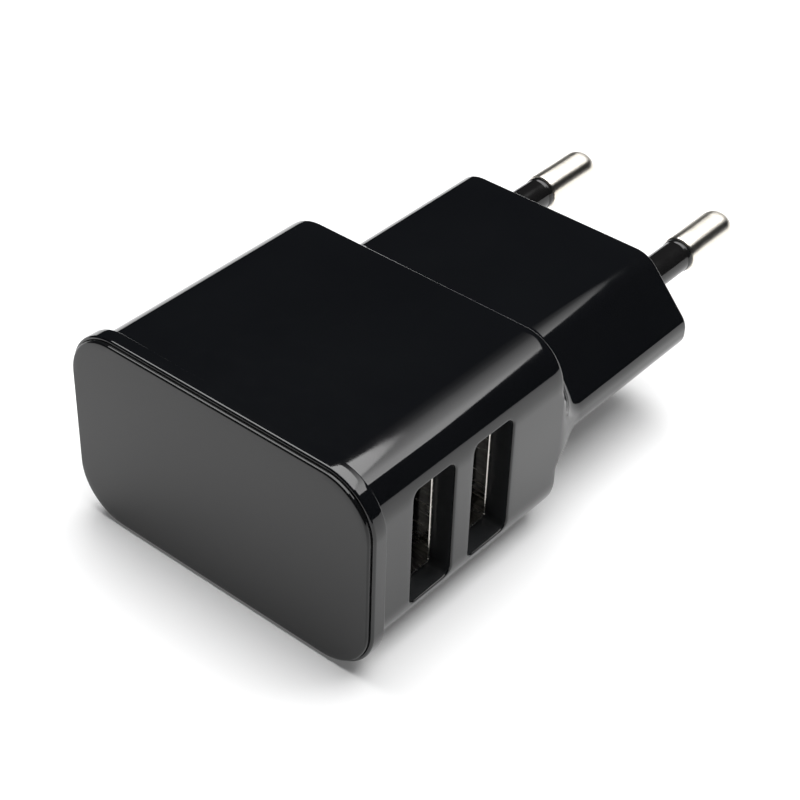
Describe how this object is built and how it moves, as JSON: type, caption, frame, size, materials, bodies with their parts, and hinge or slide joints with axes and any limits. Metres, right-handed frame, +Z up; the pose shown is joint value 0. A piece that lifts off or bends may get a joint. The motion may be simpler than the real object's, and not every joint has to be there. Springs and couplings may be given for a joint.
{
  "type": "usb wall charger",
  "caption": "Flat black mains charger: glossy body with a stepped plug nose, round-pin two-pole plug on its end and USB outlets in its side.",
  "frame": {"origin": "middle of the footprint, on the surface that the charger lies on", "axes": "+Y along the pins from the end cap to the pin tips, +X out of the USB outlets, +Z up from the wide face that it lies on"},
  "size_m": [0.0378, 0.072, 0.0225],
  "materials": {
    "housing_plastic": "high-gloss moulded, fine scuffs",
    "cap_plastic": "high-gloss moulded",
    "face_plastic": "satin gloss, slightly clouded",
    "nickel": "bright nickel plating, faint turning marks",
    "sleeve_plastic": "semi-gloss",
    "carrier_plastic": "matt",
    "brass_strip": "stamped",
    "shell_steel": "tinned sheet",
    "tongue_plastic": "matt",
    "gold_contact": "gold flash",
    "board_laminate": "solder-masked laminate",
    "ferrite": "matt sintered",
    "bobbin_plastic": "matt phenolic",
    "winding_tape": "polyester tape",
    "capacitor_sleeve": "shrink sleeve",
    "chip_epoxy": "moulded epoxy",
    "disc_ceramic": "dipped coating",
    "resistor_ceramic": "dipped coating"
  },
  "bodies": {
    "root": {"housing": "housing_plastic", "end_cap": "cap_plastic", "face_plate": "face_plastic", "left_pin": "nickel", "right_pin": "nickel", "left_pin_sleeve": "sleeve_plastic", "right_pin_sleeve": "sleeve_plastic", "pin_carrier": "carrier_plastic", "left_contact_strip": "brass_strip", "right_contact_strip": "brass_strip", "front_usb_shell": "shell_steel", "rear_usb_shell": "shell_steel", "front_usb_tongue": "tongue_plastic", "rear_usb_tongue": "tongue_plastic", "front_usb_contacts": "gold_contact", "rear_usb_contacts": "gold_contact", "circuit_board": "board_laminate", "transformer_core": "ferrite", "transformer_bobbin": "bobbin_plastic", "transformer_winding": "winding_tape", "left_input_capacitor": "capacitor_sleeve", "right_input_capacitor": "capacitor_sleeve", "inner_output_capacitor": "capacitor_sleeve", "outer_output_capacitor": "capacitor_sleeve", "bridge_rectifier": "chip_epoxy", "optocoupler": "chip_epoxy", "safety_capacitor": "disc_ceramic", "fuse_resistor": "resistor_ceramic", "filter_choke": "ferrite", "controller_chip": "chip_epoxy", "charge_chip": "chip_epoxy", "output_diode": "chip_epoxy", "chip_resistors": "chip_epoxy"}
  },
  "joints": []
}
